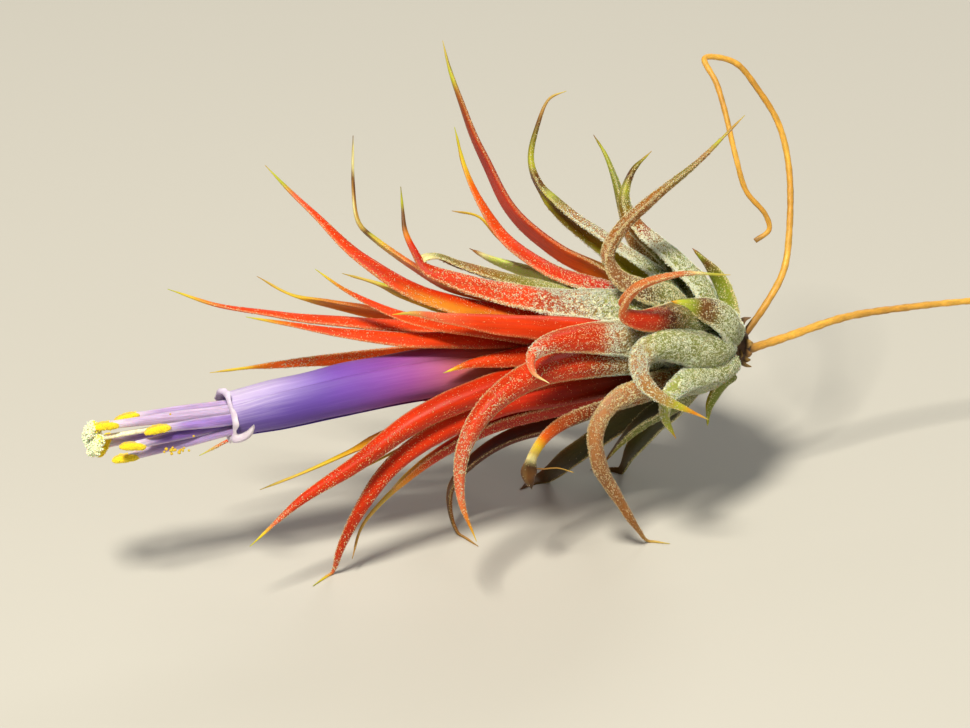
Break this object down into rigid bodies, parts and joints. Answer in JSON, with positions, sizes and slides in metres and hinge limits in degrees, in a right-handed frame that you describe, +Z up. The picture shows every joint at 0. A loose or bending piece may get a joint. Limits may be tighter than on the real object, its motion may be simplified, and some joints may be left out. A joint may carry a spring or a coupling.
{
  "type": "air plant",
  "caption": "Small air plant in bloom, lying as picked: a rosette of slender curling leaves, silvery at the foot and red toward the flower, wiry roots and a violet tube flower.",
  "frame": {"origin": "on the resting surface, under the middle of the bounding box", "axes": "+Z up; the flower points along -X and turns a little toward -Y, and the roots trail along +X"},
  "size_m": [0.1072, 0.0484, 0.0522],
  "materials": {
    "leaf_red": "satin, with pale scales",
    "leaf_orange": "satin",
    "leaf_bronze": "matte, with pale scales",
    "leaf_green": "matte, with pale scales",
    "leaf_silver": "matte, thick with pale scales",
    "stem": "matte",
    "root": "satin",
    "calyx": "satin",
    "petal": "satin",
    "filament": "satin",
    "anther": "powdery matte",
    "pistil": "matte"
  },
  "bodies": {
    "root": {"stem": "stem", "pistil": "pistil", "filaments": "filament", "anther_1": "anther", "anther_2": "anther", "anther_3": "anther", "anther_4": "anther", "anther_5": "anther", "anther_6": "anther", "petal_1": "petal", "petal_2": "petal", "petal_3": "petal", "calyx": "calyx", "leaf_bract": "leaf_red", "leaf_lance_lower": "leaf_red", "leaf_lance_upper": "leaf_red", "leaf_amber_long": "leaf_orange", "leaf_behind_flower_upper": "leaf_red", "leaf_behind_flower_lower": "leaf_red", "leaf_fan_amber": "leaf_orange", "leaf_green_thread": "leaf_orange", "leaf_spear_inner": "leaf_red", "leaf_fan_upper": "leaf_red", "leaf_back_forward": "leaf_red", "leaf_fan_sliver": "leaf_orange", "leaf_long_arch": "leaf_red", "leaf_fan_middle": "leaf_red", "leaf_kinked": "leaf_orange", "leaf_fan_lower": "leaf_red", "leaf_curled_down": "leaf_red", "leaf_back_thread": "leaf_orange", "leaf_back_upper": "leaf_red", "leaf_green_short": "leaf_green", "leaf_olive_channel": "leaf_green", "leaf_swept_up": "leaf_red", "leaf_back_middle": "leaf_green", "leaf_broad_kinked": "leaf_red", "leaf_front_drop": "leaf_red", "leaf_shaded_drop": "leaf_bronze", "leaf_tall": "leaf_red", "leaf_curled_hook": "leaf_red", "leaf_amber_tipped": "leaf_bronze", "leaf_prop_forward": "leaf_bronze", "leaf_swan_neck": "leaf_green", "leaf_under_green": "leaf_green", "leaf_recurved_tall": "leaf_bronze", "leaf_back_low": "leaf_green", "leaf_prop_rear": "leaf_green", "leaf_green_back_upright": "leaf_green", "leaf_trailing_bow": "leaf_bronze", "leaf_looped_front": "leaf_red", "leaf_hooked_back": "leaf_green", "leaf_basal_hook": "leaf_silver", "leaf_back_curl": "leaf_green", "leaf_basal_low": "leaf_silver", "leaf_basal_point": "leaf_silver", "leaf_basal_stub": "leaf_green", "leaf_basal_fold": "leaf_green", "root_loop": "root", "root_trailing": "root"}
  },
  "joints": []
}
